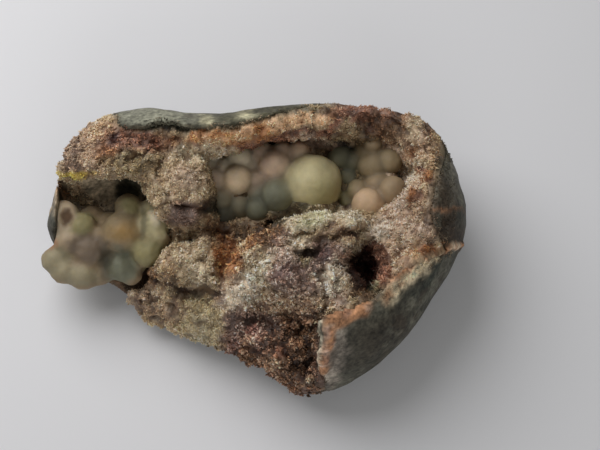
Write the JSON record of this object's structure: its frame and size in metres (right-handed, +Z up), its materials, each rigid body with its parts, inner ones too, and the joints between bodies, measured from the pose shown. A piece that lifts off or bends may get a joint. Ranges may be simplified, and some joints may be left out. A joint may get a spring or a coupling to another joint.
{
  "type": "aragonite specimen",
  "caption": "Water-worn pebble broken open along one side, showing a hollow lined with a sugary crystal crust and round waxy aragonite globes; rests on a worn flat.",
  "frame": {"origin": "middle of the specimen's bounding box in plan, on the surface that it rests on", "axes": "+X along the specimen, away from the end cluster; +Y to its far side; +Z up, out of the broken face"},
  "size_m": [0.0708, 0.0472, 0.0267],
  "materials": {
    "worn_rock": "dark greenish-grey rock, smoothed by water, with a pale orange seam at the broken edge",
    "sugary_crust": "granular crust of small crystals in pinkish beige, rust orange, purple grey and cream, with small sparkling faces",
    "waxy_globes": "round globes with a soft waxy sheen, pale yellow-green to ochre and grey-green, slightly translucent"
  },
  "bodies": {
    "root": {"host_rock": "worn_rock", "crystal_crust": "sugary_crust", "end_cluster": "waxy_globes"}
  },
  "joints": []
}
